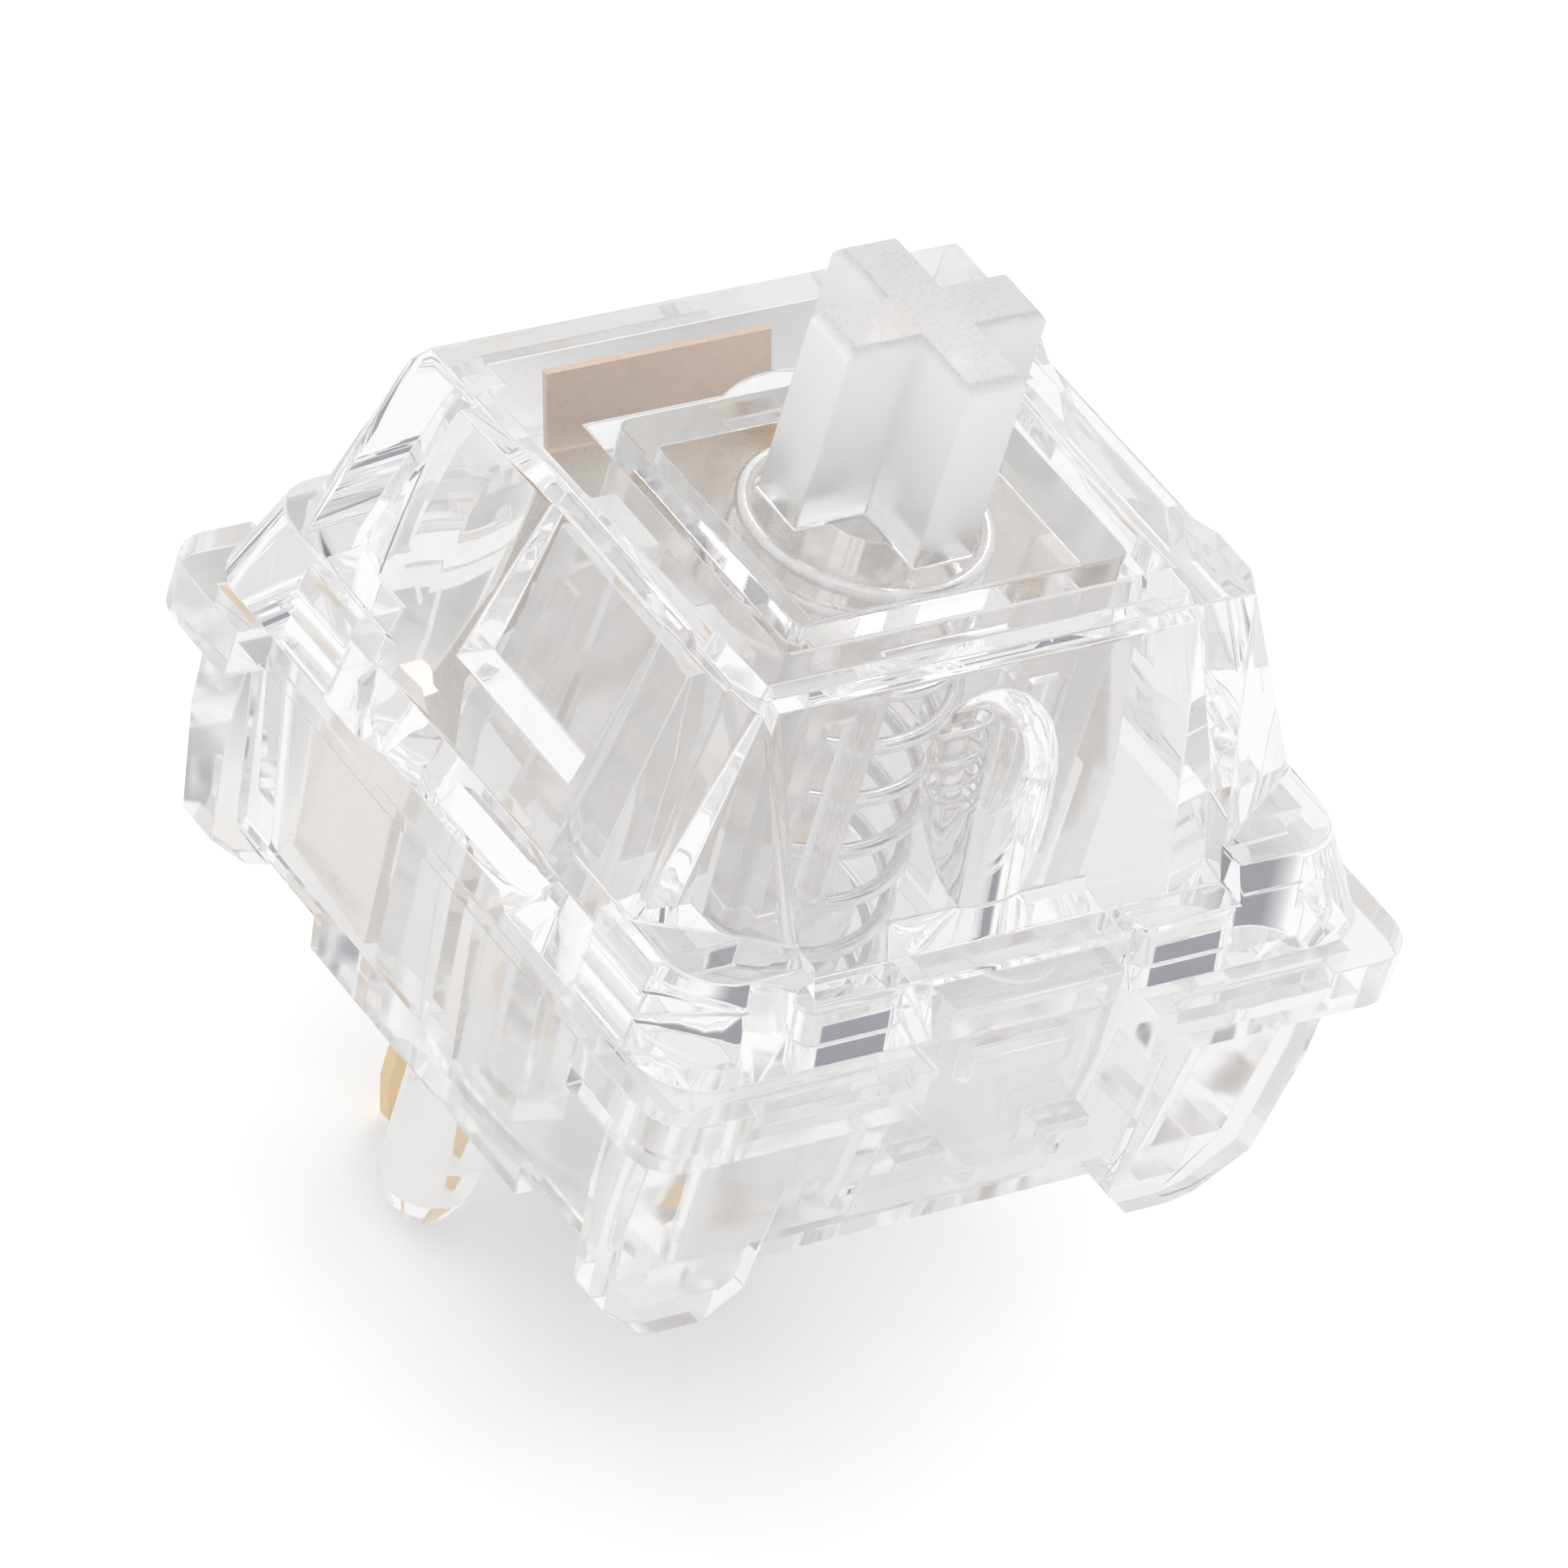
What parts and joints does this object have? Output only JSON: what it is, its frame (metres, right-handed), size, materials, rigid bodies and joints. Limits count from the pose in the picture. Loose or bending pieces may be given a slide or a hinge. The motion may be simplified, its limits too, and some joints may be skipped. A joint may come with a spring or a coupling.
{
  "type": "mechanical key switch",
  "caption": "Clear linear key switch with a cross-topped sliding stem, coil return spring, leaf contact and round board-locating posts.",
  "frame": {"origin": "on the stem's line at the height of the flange's underside, where the switch sits in its plate cut-out", "axes": "+Z along the stem towards the key cap, +Y towards the contacts and terminals, -Y towards the light window"},
  "size_m": [0.0156, 0.0156, 0.0185],
  "materials": {
    "clear_lower": "clear moulded plastic, faintly warm",
    "clear_upper": "clear moulded plastic, polished",
    "frosted": "lightly frosted see-through plastic",
    "spring_wire": "bright drawn wire",
    "terminal": "satin gold-tone plating",
    "leaf": "satin copper-alloy sheet",
    "contact": "bright gold-tone plating"
  },
  "bodies": {
    "case": {"housing_lower": "clear_lower", "housing_upper": "clear_upper", "terminal_moving": "terminal", "terminal_fixed": "terminal", "contact_fixed": "contact", "return_spring": "spring_wire"},
    "plunger": {"stem": "frosted"},
    "leaf": {"contact_leaf": "leaf", "contact_moving": "contact"}
  },
  "joints": [
    {"name": "stem_slide", "type": "slide", "parent": "case", "child": "plunger", "axis": [0, 0, -1], "range_m": [0, 0.004], "stiffness_N_per_m": 60, "springref_m": -0.005, "deforming": ["return_spring"]},
    {"name": "leaf_flex", "type": "hinge", "parent": "case", "child": "leaf", "pos_m": [0, 0.00434, -0.0024], "axis": [1, 0, 0], "range_deg": [0, 2]}
  ],
  "couplings": [
    {"joint": "leaf_flex", "follows": "stem_slide", "rad_per_m": 8.2}
  ]
}
